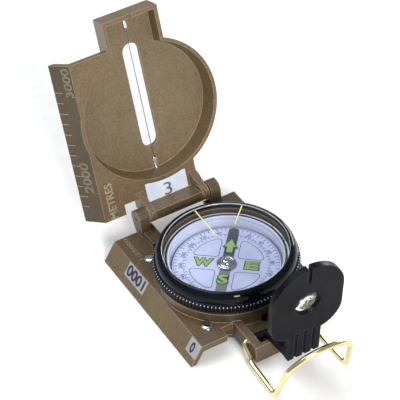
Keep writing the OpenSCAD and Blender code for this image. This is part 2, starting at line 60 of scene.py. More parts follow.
PLATE_TOP = 7.1          # top of the base plate
RULER_X = 25.5           # inner edge of both ruler faces
RULER_SPREAD = 4.6       # how far a ruler face spreads outwards
HINGE = Vector(joints["lid_hinge"]["pos_m"]) / MM
OPEN_ANGLE = -joints["lid_hinge"]["range_deg"][0]
RIM_W = 5.3              # lid rim above the hinge axis, closed
BACK_W = 12.5
DISH_FLOOR_W = 11.0
PIVOT = Vector(joints["lens_bracket_fold"]["pos_m"]) / MM
DIAL_ANGLE = 40.0        # the drawn dial's north, clockwise from +Y
CARD_Z = CARD_HI.z
GLASS_TOP = GLASS_HI.z
TICK_STEP = 4.0          # 100 m at 1:25 000
TICK_HW = 0.13
MARK_UP = 0.13           # how far a tick stands up from the casting
SCREW_AT = 19.35         # each screw's distance from the two centre planes
# tan for the castings' sharp edges: partly rubbed paint, partly a painted highlight of the
# rounded edges
EDGE_WEAR_AND_HIGHLIGHT = (0.50, 0.42, 0.32)


# ------------------------------------------------------------------ materials

def new_material(name):
    mat = bpy.data.materials.new(name)
    mat.use_nodes = True
    tree = mat.node_tree
    bsdf = tree.nodes["Principled BSDF"]
    return mat, tree, bsdf


def add(tree, kind, **values):
    node = tree.nodes.new(kind)
    for key, value in values.items():
        if key.startswith("in_"):
            node.inputs[key[3:].replace("_", " ")].default_value = value
        else:
            setattr(node, key, value)
    return node


def ramp(tree, source, stops):
    node = tree.nodes.new("ShaderNodeValToRGB")
    elements = node.color_ramp.elements
    while len(elements) < len(stops):
        elements.new(0.5)
    for element, (position, colour) in zip(elements, stops):
        element.position = position
        element.color = (*colour, 1) if len(colour) == 3 else colour
    tree.links.new(source, node.inputs["Fac"])
    return node.outputs["Color"]


def grain(tree, scale, detail=3.0, rough=0.55):
    coords = tree.nodes.new("ShaderNodeTexCoord")
    node = add(tree, "ShaderNodeTexNoise", in_Scale=scale, in_Detail=detail,
               in_Roughness=rough)
    tree.links.new(coords.outputs["Object"], node.inputs["Vector"])
    return node.outputs["Fac"]


def edge_mask(tree, radius, low, high):
    """1 on sharp edges and 0 on flat faces, with the rounded normal it comes from."""
    bevel = add(tree, "ShaderNodeBevel", samples=6, in_Radius=radius)
    plain = tree.nodes.new("ShaderNodeNewGeometry")
    dot = add(tree, "ShaderNodeVectorMath", operation="DOT_PRODUCT")
    tree.links.new(bevel.outputs["Normal"], dot.inputs[0])
    tree.links.new(plain.outputs["True Normal"], dot.inputs[1])
    spread = add(tree, "ShaderNodeMapRange")
    spread.inputs["From Min"].default_value = high
    spread.inputs["From Max"].default_value = low
    tree.links.new(dot.outputs["Value"], spread.inputs["Value"])
    return spread.outputs["Result"], bevel.outputs["Normal"]


def bump(tree, height, strength, distance, normal=None):
    node = add(tree, "ShaderNodeBump", in_Strength=strength, in_Distance=distance)
    tree.links.new(height, node.inputs["Height"])
    if normal is not None:
        tree.links.new(normal, node.inputs["Normal"])
    return node.outputs["Normal"]


def mix_colour(tree, factor, a, b):
    node = add(tree, "ShaderNodeMix", data_type="RGBA")
    tree.links.new(factor, node.inputs["Factor"])
    for socket, value in ((node.inputs[6], a), (node.inputs[7], b)):
        if isinstance(value, tuple):
            socket.default_value = (*value, 1)
        else:
            tree.links.new(value, socket)
    return node.outputs[2]


def paint(name, dark, light, worn, pebble, rough=(0.36, 0.5), pebble_scale=1900):
    """Satin enamel on a casting: cloudy colour, fine pebbles, lighter edges. The worn colour on
    the edges is partly rubbed paint and partly a painted highlight.
    """
    mat, tree, bsdf = new_material(name)
    clouds = grain(tree, 90, 4)
    colour = ramp(tree, clouds, [(0.3, dark), (0.72, light)])
    specks = ramp(tree, grain(tree, 1500, 2), [(0.36, (0, 0, 0)), (0.62, (1, 1, 1))])
    shade = add(tree, "ShaderNodeMix", data_type="RGBA", blend_type="SOFT_LIGHT")
    shade.inputs["Factor"].default_value = 0.22
    tree.links.new(colour, shade.inputs[6])
    tree.links.new(specks, shade.inputs[7])
    edges, normal = edge_mask(tree, 0.00045, 0.74, 0.98)
    patches = ramp(tree, grain(tree, 260, 5, 0.7), [(0.3, (0.45,) * 3), (0.6, (1,) * 3)])
    # sharp edges take the edge colour in patches: partly rubbed paint, partly a painted
    # highlight
    wear_and_highlight = add(tree, "ShaderNodeMath", operation="MULTIPLY")
    tree.links.new(edges, wear_and_highlight.inputs[0])
    tree.links.new(patches, wear_and_highlight.inputs[1])
    final = mix_colour(tree, wear_and_highlight.outputs[0], shade.outputs[2], worn)
    tree.links.new(final, bsdf.inputs["Base Color"])
    sheen = add(tree, "ShaderNodeMapRange")
    sheen.inputs["To Min"].default_value = rough[0]
    sheen.inputs["To Max"].default_value = rough[1]
    tree.links.new(grain(tree, 400, 3), sheen.inputs["Value"])
    tree.links.new(sheen.outputs["Result"], bsdf.inputs["Roughness"])
    tree.links.new(bump(tree, grain(tree, pebble_scale, 2.5), pebble, 0.00012, normal),
                   bsdf.inputs["Normal"])
    bsdf.inputs["Specular IOR Level"].default_value = 0.5
    return mat


def moulded(name, dark, light, rough, fleck=1400, texture=0.12, coat=0.0, edge=None,
            edge_radius=0.00025, specular=0.5):
    """Moulded plastic or print: slight colour drift, fine texture, softened edges, and, when an
    edge colour is given, a painted highlight along the sharp edges.
    """
    mat, tree, bsdf = new_material(name)
    colour = ramp(tree, grain(tree, 160, 3), [(0.3, dark), (0.7, light)])
    edges, normal = edge_mask(tree, edge_radius, 0.7, 0.99)
    # the edge colour on sharp edges is a painted highlight
    if edge is not None:
        colour = mix_colour(tree, edges, colour, edge)
    tree.links.new(colour, bsdf.inputs["Base Color"])
    spread = add(tree, "ShaderNodeMapRange")
    spread.inputs["To Min"].default_value = rough[0]
    spread.inputs["To Max"].default_value = rough[1]
    tree.links.new(grain(tree, 500, 3), spread.inputs["Value"])
    tree.links.new(spread.outputs["Result"], bsdf.inputs["Roughness"])
    tree.links.new(bump(tree, grain(tree, fleck, 2), texture, 0.00006, normal),
                   bsdf.inputs["Normal"])
    bsdf.inputs["Coat Weight"].default_value = coat
    bsdf.inputs["Coat Roughness"].default_value = 0.04
    bsdf.inputs["Specular IOR Level"].default_value = specular
    return mat


def metal(name, dark, light, rough, scratch=900, texture=0.08):
    mat, tree, bsdf = new_material(name)
    tree.links.new(ramp(tree, grain(tree, 300, 4), [(0.3, dark), (0.7, light)]),
                   bsdf.inputs["Base Color"])
    bsdf.inputs["Metallic"].default_value = 1.0
    spread = add(tree, "ShaderNodeMapRange")
    spread.inputs["To Min"].default_value = rough[0]
    spread.inputs["To Max"].default_value = rough[1]
    tree.links.new(grain(tree, 700, 4), spread.inputs["Value"])
    tree.links.new(spread.outputs["Result"], bsdf.inputs["Roughness"])
    tree.links.new(bump(tree, grain(tree, scratch, 3), texture, 0.00005),
                   bsdf.inputs["Normal"])
    return mat


def pane(name, tint, reflect=1.0):
    """A flat clear pane: what is behind it shows through, with mirror highlights."""
    mat, tree, bsdf = new_material(name)
    tree.nodes.remove(bsdf)
    clear = add(tree, "ShaderNodeBsdfTransparent")
    clear.inputs["Color"].default_value = (*tint, 1)
    gloss = add(tree, "ShaderNodeBsdfGlossy", in_Roughness=0.02)
    fresnel = add(tree, "ShaderNodeFresnel", in_IOR=1.45)
    side = tree.nodes.new("ShaderNodeNewGeometry")
    front = add(tree, "ShaderNodeMath", operation="MULTIPLY_ADD")
    front.inputs[1].default_value = -reflect
    front.inputs[2].default_value = reflect
    tree.links.new(side.outputs["Backfacing"], front.inputs[0])
    smear = bump(tree, grain(tree, 60, 2), 0.02, 0.0001)
    tree.links.new(smear, gloss.inputs["Normal"])
    amount = add(tree, "ShaderNodeMath", operation="MULTIPLY")
    tree.links.new(fresnel.outputs["Fac"], amount.inputs[0])
    tree.links.new(front.outputs[0], amount.inputs[1])
    mix = tree.nodes.new("ShaderNodeMixShader")
    tree.links.new(amount.outputs[0], mix.inputs["Fac"])
    tree.links.new(clear.outputs[0], mix.inputs[1])
    tree.links.new(gloss.outputs[0], mix.inputs[2])
    tree.links.new(mix.outputs[0], tree.nodes["Material Output"].inputs["Surface"])
    return mat


def lens_material():
    mat, tree, bsdf = new_material("lens_clear")
    tree.links.new(ramp(tree, grain(tree, 120, 2), [(0.3, (0.93, 0.9, 0.84)),
                                                    (0.7, (0.97, 0.95, 0.9))]),
                   bsdf.inputs["Base Color"])
    bsdf.inputs["Transmission Weight"].default_value = 1.0
    bsdf.inputs["Roughness"].default_value = 0.03
    bsdf.inputs["IOR"].default_value = 1.5
    return mat


# The castings carry one paint, drawn as the lid paint plus lighter and darker copies of it for
# other faces: those copies are painted light and painted shade.
PAINT = paint("casting_paint", (0.125, 0.085, 0.041), (0.150, 0.102, 0.051),
              EDGE_WEAR_AND_HIGHLIGHT, 0.18, (0.30, 0.40))
# the dish floor's pebbled finish is real; its slightly lighter tint is a painted light
PEBBLED_LIT = paint("casting_pebbled_lit", (0.135, 0.096, 0.048), (0.160, 0.115, 0.060),
                EDGE_WEAR_AND_HIGHLIGHT, 0.75, (0.28, 0.38), 1500)
# darker copy of the lid paint for the lid's ruler face: a painted shade
RULER_PAINT_SHADED = paint("casting_ruler_shaded", (0.052, 0.035, 0.014), (0.070, 0.047, 0.020),
                    EDGE_WEAR_AND_HIGHLIGHT, 0.4)
# darker copy of the lid paint for the base: a painted shade
BASE_PAINT_SHADED = paint("casting_base", (0.078, 0.051, 0.025), (0.097, 0.065, 0.032),
                   EDGE_WEAR_AND_HIGHLIGHT, 0.18, (0.32, 0.42))
# lighter copy for the base's ruler face: a painted light
BASE_RULER_LIT = paint("casting_base_ruler_lit", (0.115, 0.079, 0.038), (0.140, 0.098, 0.049),
                   EDGE_WEAR_AND_HIGHLIGHT, 0.4)
# darkest copy for the front of the housing wall: a painted shade under the bezel
HOUSING_SHADE = paint("casting_housing_shade", (0.040, 0.026, 0.012), (0.055, 0.036, 0.018),
                (0.40, 0.33, 0.25), 0.18)
RAISED = paint("casting_raised", (0.135, 0.103, 0.064), (0.165, 0.128, 0.078),
               (0.42, 0.36, 0.28), 0.2)
WORN = paint("casting_worn", (0.240, 0.197, 0.128), (0.320, 0.266, 0.178),
             (0.50, 0.44, 0.36), 0.2)
STEEL = metal("bright_steel", (0.72, 0.72, 0.70), (0.86, 0.86, 0.85), (0.12, 0.24))
POLISHED = metal("polished_steel", (0.50, 0.51, 0.52), (0.60, 0.61, 0.62), (0.08, 0.14),
                 200, 0.02)
FERRULE = metal("ferrule_tin", (0.76, 0.75, 0.71), (0.86, 0.85, 0.81), (0.22, 0.3),
                200, 0.02)
WIRE = metal("dark_wire", (0.24, 0.24, 0.25), (0.34, 0.34, 0.35), (0.25, 0.4))
BRASS = metal("pale_brass", (0.74, 0.61, 0.31), (0.88, 0.77, 0.48), (0.14, 0.24))
WHITE = moulded("white_plastic", (0.74, 0.78, 0.90), (0.82, 0.85, 0.95), (0.2, 0.3),
                coat=0.4)
CARD = moulded("dial_card_print", (0.62, 0.66, 0.86), (0.70, 0.74, 0.92), (0.4, 0.5))
CARD_WINDOW = moulded("dial_card_window", (0.60, 0.65, 0.86), (0.72, 0.76, 0.94),
                      (0.35, 0.45))
INK = moulded("blue_black_ink", (0.020, 0.022, 0.040), (0.035, 0.038, 0.065),
              (0.45, 0.55), specular=0.3)
SCALE_INK = moulded("scale_ink", (0.12, 0.13, 0.22), (0.17, 0.18, 0.28), (0.4, 0.55))
LIME = moulded("lime_luminous", (0.30, 0.50, 0.12), (0.38, 0.58, 0.18), (0.4, 0.55),
               texture=0.3)
YELLOW = moulded("yellow_luminous", (0.78, 0.74, 0.30), (0.90, 0.86, 0.45), (0.4, 0.5),
                 texture=0.3)
MAGNET = moulded("magnet_grey", (0.065, 0.07, 0.085), (0.10, 0.105, 0.12), (0.35, 0.5),
                 texture=0.3)
MAGNET_PALE = moulded("magnet_pale", (0.19, 0.195, 0.20), (0.25, 0.25, 0.25),
                      (0.35, 0.5), texture=0.3)
LABEL = moulded("label_grey", (0.29, 0.29, 0.30), (0.36, 0.36, 0.37), (0.4, 0.5))
LABEL_PALE = moulded("label_pale", (0.56, 0.61, 0.73), (0.66, 0.71, 0.84), (0.35, 0.45))
LABEL_INK = moulded("label_ink", (0.10, 0.10, 0.11), (0.15, 0.15, 0.16), (0.45, 0.55))
# the lighter bluish edge colours of the bezel, knurl and bracket below are painted highlights
BEZEL = moulded("bezel_black", (0.002, 0.003, 0.006), (0.004, 0.006, 0.010),
                (0.04, 0.08), edge=(0.02, 0.03, 0.05), texture=0.04, specular=0.14)
KNURL = moulded("knurl_black", (0.003, 0.004, 0.006), (0.006, 0.008, 0.011),
                (0.22, 0.32), edge=(0.03, 0.035, 0.045), edge_radius=0.0001,
                specular=0.2)
# light grey for the knurl's tooth tips and the lip round the glass: a painted highlight
KNURL_TIP_HIGHLIGHT = moulded("knurl_tip_highlight", (0.30, 0.32, 0.35), (0.45, 0.47, 0.50), (0.2, 0.3),
                    coat=0.5)
RUBBER = moulded("seal_rubber", (0.015,) * 3, (0.03,) * 3, (0.6, 0.7))
BRACKET = moulded("bracket_black", (0.003, 0.003, 0.005), (0.006, 0.006, 0.009),
                  (0.26, 0.36), fleck=2200, texture=0.2, edge=(0.03, 0.037, 0.06),
                  edge_radius=0.0006, specular=0.06)
GLASS = pane("clear_glass", (0.98, 0.985, 1.0))
WINDOW = pane("clear_window", (0.98, 0.985, 1.0), 0.5)
LENS = lens_material()


# ------------------------------------------------------------------ mesh tools

def finish_mesh(name, bm, material, smooth=35):
    """Makes an object from a bmesh drawn in millimetres."""
    bm.transform(Matrix.Scale(MM, 4))
    bmesh.ops.recalc_face_normals(bm, faces=bm.faces[:])
    mesh = bpy.data.meshes.new(name)
    bm.to_mesh(mesh)
    bm.free()
    obj = bpy.data.objects.new(name, mesh)
    scene.collection.objects.link(obj)
    for mat in material if isinstance(material, (list, tuple)) else [material]:
        mesh.materials.append(mat)
    mesh.shade_smooth()
    mesh.set_sharp_from_angle(angle=math.radians(smooth))
    return obj


def place(obj, body, slot, *replaced):
    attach(obj, body)
    if replaced:
        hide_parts(*replaced)
    return obj


def lathe(bm, profile, steps=192, matrix=Matrix.Identity(4), closed=True):
    """Turns a list of (radius, height) about Z. Radius 0 makes a single point."""
    rings = []
    for r, z in profile:
        if r < 1e-6:
            rings.append([bm.verts.new(matrix @ Vector((0, 0, z)))])
            continue
        turn = [2 * math.pi * i / steps for i in range(steps)]
        rings.append([bm.verts.new(matrix @ Vector((r * math.cos(a), r * math.sin(a), z)))
                      for a in turn])
    pairs = list(zip(rings, rings[1:]))
    if closed and profile[0][0] > 1e-6 and profile[-1][0] > 1e-6:
        pairs.append((rings[-1], rings[0]))
    for a, b in pairs:
        for i in range(steps):
            k = (i + 1) % steps
            corners = [a[i % len(a)], a[k % len(a)], b[k % len(b)], b[i % len(b)]]
            corners = list(dict.fromkeys(corners))
            if len(corners) > 2:
                bm.faces.new(corners)


def arc(cx, cy, r, a0, a1, n):
    """Points on an arc, angles in degrees."""
    return [(cx + r * math.cos(math.radians(a0 + (a1 - a0) * i / n)),
             cy + r * math.sin(math.radians(a0 + (a1 - a0) * i / n)))
            for i in range(n + 1)]


def prism(bm, outline, z0, z1, matrix=Matrix.Identity(4), mat=0):
    """A closed slab with a flat outline."""
    low = [bm.verts.new(matrix @ Vector((x, y, z0))) for x, y in outline]
    top = [bm.verts.new(matrix @ Vector((x, y, z1))) for x, y in outline]
    faces = [bm.faces.new(top), bm.faces.new(low[::-1])]
    n = len(outline)
    for i in range(n):
        k = (i + 1) % n
        faces.append(bm.faces.new([low[i], low[k], top[k], top[i]]))
    for f in faces:
        f.material_index = mat


def band(bm, inner, outer, z0, z1, matrix=Matrix.Identity(4), mat=0):
    """A closed loop of constant section between two outlines of equal length."""
    rows = [[bm.verts.new(matrix @ Vector((x, y, z))) for x, y in pts]
            for pts, z in ((inner, z0), (outer, z0), (outer, z1), (inner, z1))]
    n = len(inner)
    for a, b in zip(rows, rows[1:] + rows[:1]):
        for i in range(n):
            k = (i + 1) % n
            bm.faces.new([a[i], a[k], b[k], b[i]]).material_index = mat


def grown(outline, amount):
    """The outline moved outwards along its own normals."""
    n = len(outline)
    out = []
    for i in range(n):
        x0, y0 = outline[i - 1]
        x1, y1 = outline[i]
        x2, y2 = outline[(i + 1) % n]
        a = Vector((y1 - y0, x0 - x1)).normalized()
        b = Vector((y2 - y1, x1 - x2)).normalized()
        m = (a + b).normalized() if (a + b).length > 1e-6 else a
        stretch = min(1 / max(m.dot(a), 0.3), 2.0)
        out.append((x1 + m.x * amount * stretch, y1 + m.y * amount * stretch))
    return out


def lettering(text, offset):
    """A flat-sided mesh of the text, 1 unit thick, its base on z = 0."""
    curve = bpy.data.curves.new("lettering", "FONT")
    curve.body = text
    curve.extrude = 0.5
    curve.offset = offset
    curve.resolution_u = 4
    holder = bpy.data.objects.new("lettering", curve)
    scene.collection.objects.link(holder)
    bpy.context.view_layer.update()
    mesh = bpy.data.meshes.new_from_object(holder)
    bpy.data.objects.remove(holder)
    bpy.data.curves.remove(curve)
    mesh.transform(Matrix.Translation((0, 0, 0.5)))
    return mesh


def glyphs(bm, text, width, height, depth, matrix, bold=0.02, rim=0.0, mat=0):
    """Adds raised text that fills width by height about the matrix's origin.

    rim grows the strokes outwards by that many millimetres."""
    mesh = lettering(text, bold)
    xs = [v.co.x for v in mesh.vertices]
    ys = [v.co.y for v in mesh.vertices]
    sx = width / (max(xs) - min(xs))
    sy = height / (max(ys) - min(ys))
    middle = Vector(((max(xs) + min(xs)) / 2, (max(ys) + min(ys)) / 2, 0))
    if rim:
        mesh = lettering(text, bold + rim * 2 / (sx + sy))
    fit = matrix @ Matrix.Diagonal((sx, sy, depth, 1)) @ Matrix.Translation(-middle)
    before = set(bm.verts)
    faces = set(bm.faces)
    bm.from_mesh(mesh)
    bpy.data.meshes.remove(mesh)
    new = [v for v in bm.verts if v not in before]
    bmesh.ops.remove_doubles(bm, verts=new, dist=1e-5)
    for v in bm.verts:
        if v not in before:
            v.co = fit @ v.co
    for f in bm.faces:
        if f not in faces:
            f.material_index = mat


def sweep(bm, path, radius, sides=20):
    """A round wire along a list of points, with closed ends."""
    side = Vector((0, 0, 1))
    rings = []
    for i, p in enumerate(path):
        ahead = path[min(i + 1, len(path) - 1)] - path[max(i - 1, 0)]
        t = ahead.normalized()
        side = (side - side.dot(t) * t).normalized()
        other = t.cross(side)
        rings.append([bm.verts.new(p + radius * (math.cos(a) * side + math.sin(a) * other))
                      for a in (2 * math.pi * k / sides for k in range(sides))])
    for a, b in zip(rings, rings[1:]):
        for k in range(sides):
            n = (k + 1) % sides
            bm.faces.new([a[k], a[n], b[n], b[k]])
    bm.faces.new(rings[0][::-1])
    bm.faces.new(rings[-1])


def rounded_path(points, cut, steps=8):
    """Straight runs joined by smooth bends that start `cut` from each corner."""
    out = [points[0]]
    for a, p, b in zip(points, points[1:], points[2:]):
        ca = min(cut, 0.45 * (a - p).length)
        cb = min(cut, 0.45 * (b - p).length)
        q0 = p + (a - p).normalized() * ca
        q2 = p + (b - p).normalized() * cb
        for k in range(steps + 1):
            s = k / steps
            out.append((1 - s) ** 2 * q0 + 2 * s * (1 - s) * p + s * s * q2)
    out.append(points[-1])
    return out


def copy_of(node, name, material, body, slot):
    """A copy of a CAD node's mesh with a finish of its own, standing for the node."""
    bm = bmesh.new()
    bm.from_mesh(nodes[node].data)
    bmesh.ops.remove_doubles(bm, verts=bm.verts[:], dist=2e-6)
    bmesh.ops.dissolve_limit(bm, angle_limit=math.radians(0.6), verts=bm.verts[:],
                             edges=bm.edges[:])
    bmesh.ops.triangulate(bm, faces=[f for f in bm.faces if len(f.verts) > 4])
    mesh = bpy.data.meshes.new(name)
    bm.to_mesh(mesh)
    bm.free()
    stored = mesh.attributes.get("custom_normal")
    if stored is not None:
        mesh.attributes.remove(stored)
    obj = bpy.data.objects.new(name, mesh)
    scene.collection.objects.link(obj)
    mesh.materials.clear()
    for mat in material if isinstance(material, (list, tuple)) else [material]:
        mesh.materials.append(mat)
    mesh.shade_smooth()
    mesh.set_sharp_from_angle(angle=math.radians(30))
    return place(obj, body, slot, node)


def repaint(node, material):
    obj = nodes[node]
    obj.data.materials.clear()
    obj.data.materials.append(material)


# ------------------------------------------------------------------ frames

LID = (Matrix.Translation(HINGE)
       @ Matrix.Rotation(math.radians(-OPEN_ANGLE), 4, "X"))


def axes(origin, x, y, z):
    """A matrix with the given origin and axis directions."""
    m = Matrix((x, y, z)).transposed().to_4x4()
    m.translation = origin
    return m


def on_base_ruler(y, s):
    """On the base's ruler face, text running towards the hinge, tops outwards."""
    down = Vector((-RULER_SPREAD, 0, -PLATE_TOP)).normalized()
    out = Vector((-PLATE_TOP, 0, RULER_SPREAD)).normalized()
    return axes(Vector((-RULER_X, y, PLATE_TOP)) + down * s, Vector((0, 1, 0)), down, out)


def on_lid_ruler(u, s):
    """On the lid's ruler face, u from the hinge and s from the inner edge."""
    drop = BACK_W - RIM_W
    across = Vector((-RULER_SPREAD, 0, drop)).normalized()
    out = Vector((-drop, 0, -RULER_SPREAD)).normalized()
    return LID @ axes(Vector((-RULER_X, -u, RIM_W)) + across * s, Vector((0, -1, 0)),
                      across, out)


def on_base_plate(x, y):
    return axes(Vector((x, y, PLATE_TOP)), Vector((0, 1, 0)), Vector((-1, 0, 0)),
                Vector((0, 0, 1)))


def on_lid_plate(x, u):
    return LID @ axes(Vector((x, -u, RIM_W)), Vector((0, -1, 0)), Vector((-1, 0, 0)),
                      Vector((0, 0, -1)))


DIAL = Matrix.Rotation(math.radians(-DIAL_ANGLE), 4, "Z") @ Matrix.Translation((0, 0, CARD_Z))


# ------------------------------------------------------------------ castings

def paint_faces(obj, frame_matrix, choose):
    """Gives each face the material number that choose(centre, normal) returns."""
    back = frame_matrix.inverted()
    turn = back.to_3x3()
    for face in obj.data.polygons:
        face.material_index = choose(back @ (face.center / MM), turn @ face.normal)


# Base faces: the ruler face gets the lighter copy (painted light), the front of the housing wall
# the darkest (painted shade), the rest a darker copy (painted shade).
def base_faces(c, n):
    if n.x < -0.5 and n.z > 0.3 and c.x < -RULER_X:
        return 1
    on_wall = abs(n.z) < 0.3 and c.xy.length < 25.2 and c.z < 10.7
    return 2 if on_wall and c.y < -15 else 0


# Lid faces: the dish floor gets a slightly lighter copy (painted light over its real pebbles),
# the ruler face a darker copy (painted shade), the rest the lid paint.
def lid_faces(c, n):
    if n.z < -0.9 and abs(c.z - DISH_FLOOR_W) < 0.2:
        return 1
    return 2 if n.x < -0.5 and n.z < -0.3 and c.x < -RULER_X else 0


def castings():
    # each casting's faces get the lid paint or a lit or shaded copy of it: painted light and
    # painted shade
    base = copy_of("base_frame", "base_casting", [BASE_PAINT_SHADED, BASE_RULER_LIT, HOUSING_SHADE], "base",
                   "painted_casting")
    paint_faces(base, Matrix.Identity(4), base_faces)
    copy_of("bottom_cover", "base_cover", BASE_PAINT_SHADED, "base", "painted_casting")
    lid = copy_of("lid_casting", "lid_shell", [PAINT, PEBBLED_LIT, RULER_PAINT_SHADED], "lid",
                  "painted_casting")
    paint_faces(lid, LID, lid_faces)


def tick(bm, length, matrix):
    prism(bm, [(-TICK_HW, -length), (TICK_HW, -length), (TICK_HW, 0), (-TICK_HW, 0)],
          0, MARK_UP, matrix)


def raised_marks():
    """Numerals, words and ticks that stand up from the castings."""
    bm = bmesh.new()
    glyphs(bm, "3000", 11.0, 3.2, 0.16, on_lid_ruler(54.5, 2.3))
    glyphs(bm, "2000", 11.8, 3.6, 0.16, on_lid_ruler(18.1, 3.6))
    for u in (49.3, 12.2):
        prism(bm, [(-0.18, -0.9), (0.18, -0.9), (0.14, 0.5), (-0.14, 0.5)], 0, 0.14,
              on_lid_ruler(u, 0.35))
    place(finish_mesh("lid_raised_marks", bm, RAISED), "lid", "painted_casting")

    bm = bmesh.new()
    glyphs(bm, "METRES", 13.8, 3.0, 0.16, on_lid_plate(-21.8, 7.6))
    place(finish_mesh("lid_unit_word", bm, WORN), "lid", "painted_casting")

    bm = bmesh.new()
    for k in range(12):
        long = 3.1 + 0.5 * math.sin(2.3 * k)
        tick(bm, long, on_lid_ruler(6.6 + TICK_STEP * k, 8.4))
    place(finish_mesh("lid_ruler_ticks", bm, WORN), "lid", "painted_casting")

    bm = bmesh.new()
    glyphs(bm, "1:25000", 12.6, 1.6, 0.14, on_base_plate(-21.9, 26.8))
    place(finish_mesh("base_scale_text", bm, RAISED), "base", "painted_casting")

    bm = bmesh.new()
    for k in range(7):
        tick(bm, 2.4, on_base_ruler(7.5 - TICK_STEP * k, 8.2))
    for k in range(3):
        tick(bm, 1.6, on_base_ruler(23.5 + TICK_STEP * k, 8.2))
    place(finish_mesh("base_ruler_ticks", bm, BASE_PAINT_SHADED), "base", "painted_casting")


def labels():
    for node, text, y, s, w, h in (("scale_label_1000", "1000", 15.9, 2.65, 11.2, 4.2),
                                   ("scale_label_0", "0", -23.1, 2.95, 2.1, 4.0)):
        repaint(node, LABEL)
        bm = bmesh.new()
        glyphs(bm, text, w, h, 0.05, on_base_ruler(y, s) @ Matrix.Translation((0, 0, 0.1)),
               0.035)
        place(finish_mesh(node + "_numerals", bm, INK), "base", "label_plate")
    repaint("number_label", LABEL_PALE)
    bm = bmesh.new()
    face = LID @ axes(Vector((0.2, -4.0, RIM_W - 0.14)), Vector((1, 0, 0)),
                      Vector((0, -1, 0)), Vector((0, 0, -1)))
    glyphs(bm, "3", 3.1, 4.8, 0.05, face, 0.0)
    place(finish_mesh("number_label_numeral", bm, LABEL_INK), "lid", "label_plate")


# ------------------------------------------------------------------ bezel

TEETH = 120


def bezel():
    bm = bmesh.new()
    shoulder = BEZEL_LO.z + 3.1
    lathe(bm, [(23.0, shoulder - 0.9), (24.6, shoulder - 0.9), (24.75, shoulder - 0.1),
               (24.55, shoulder + 0.12), (24.28, shoulder + 0.18), (24.22, shoulder + 0.4),
               (24.34, shoulder + 0.9), (24.38, shoulder + 1.6), (24.28, shoulder + 2.3),
               (24.05, shoulder + 3.0), (23.72, shoulder + 3.6), (23.3, shoulder + 4.1),
               (22.85, shoulder + 4.45), (22.45, shoulder + 4.64), (22.15, shoulder + 4.68),
               (21.92, shoulder + 4.6), (21.78, shoulder + 4.4), (21.74, GLASS_TOP),
               (22.9, GLASS_TOP), (23.0, GLASS_TOP - 0.1)], 240)
    lip_in, lip_out = 21.7, 21.95       # the lip round the glass, given a painted highlight
    for face in bm.faces:
        middle = face.calc_center_median()
        if lip_in < middle.xy.length < lip_out and middle.z > GLASS_TOP + 0.05:
            face.material_index = 1
    place(finish_mesh("bezel_band", bm, [BEZEL, KNURL_TIP_HIGHLIGHT], 50), "bezel", "bezel_black",
          "bezel_ring")

    bm = bmesh.new()
    per_tooth = 8
    steps = TEETH * per_tooth
    low, high = BEZEL_LO.z, shoulder
    # (height, root radius, crest radius) from the lower edge to the upper edge
    rows = [(low, 24.4, 24.5), (low + 0.25, 24.65, 25.0), (low + 0.5, 24.7, 25.28),
            (high - 0.5, 24.7, 25.28), (high - 0.22, 24.62, 25.14), (high, 24.35, 24.8)]
    rings = []
    for z, root, crest in rows:
        ring = []
        for i in range(steps):
            wave = 0.5 + 0.5 * math.cos(2 * math.pi * (i % per_tooth) / per_tooth)
            r = root + (crest - root) * wave ** 0.6
            a = 2 * math.pi * i / steps
            ring.append(bm.verts.new((r * math.cos(a), r * math.sin(a), z)))
        rings.append(ring)
    for z, r in ((high, 23.0), (low, 23.0)):
        rings.append([bm.verts.new((r * math.cos(2 * math.pi * i / steps),
                                    r * math.sin(2 * math.pi * i / steps), z))
                      for i in range(steps)])
    # crests in the top chamfer row get the light grey: painted highlights on the tooth tips
    highlight_row = 4
    for row, (a, b) in enumerate(zip(rings, rings[1:] + rings[:1])):
        for i in range(steps):
            k = (i + 1) % steps
            face = bm.faces.new([a[i], a[k], b[k], b[i]])
            on_crest = (i % per_tooth) in (0, per_tooth - 1)
            face.material_index = 1 if row == highlight_row and on_crest else 0
    place(finish_mesh("bezel_knurl", bm, [KNURL, KNURL_TIP_HIGHLIGHT], 60), "bezel", "bezel_black",
          "bezel_ring")

    repaint("glass_gasket", RUBBER)
    repaint("long_bearing_line", YELLOW)
    repaint("short_bearing_line", YELLOW)
    r = (GLASS_HI.x - GLASS_LO.x) / 2
    bm = bmesh.new()
    lathe(bm, [(0, GLASS_LO.z), (r - 0.2, GLASS_LO.z), (r, GLASS_LO.z + 0.2),
               (r, GLASS_HI.z - 0.2), (r - 0.2, GLASS_HI.z), (0, GLASS_HI.z)], 160)
    place(finish_mesh("bezel_pane", bm, GLASS), "bezel", "clear_glass", "bezel_glass")


# ------------------------------------------------------------------ dial

def quadrant(grow=0.0):
    """One quarter window of the card, a rounded sector in the first quarter."""
    off, r, fillet = 3.4, 13.0, 1.2
    a0 = math.degrees(math.asin((off + fillet) / (r - fillet)))
    pts = arc(off + fillet, off + fillet, fillet, 180, 270, 6)
    end = (r - fillet) * math.cos(math.radians(a0))
    pts += arc(end, off + fillet, fillet, -90, a0, 7)
    pts += arc(0, 0, r, a0, 90 - a0, 18)[1:-1]
    pts += arc(off + fillet, end, fillet, 90 - a0, 180, 7)
    return grown(pts, grow)


def letter_outlined(bm, text, width, height, x, y, lift=0.0):
    """A lime letter with a dark outline round it."""
    glyphs(bm, text, width, height, 0.05, DIAL @ Matrix.Translation((x, y, lift + 0.02)),
           0.045, 0.27, 1)
    glyphs(bm, text, width, height, 0.05, DIAL @ Matrix.Translation((x, y, lift + 0.07)),
           0.045)


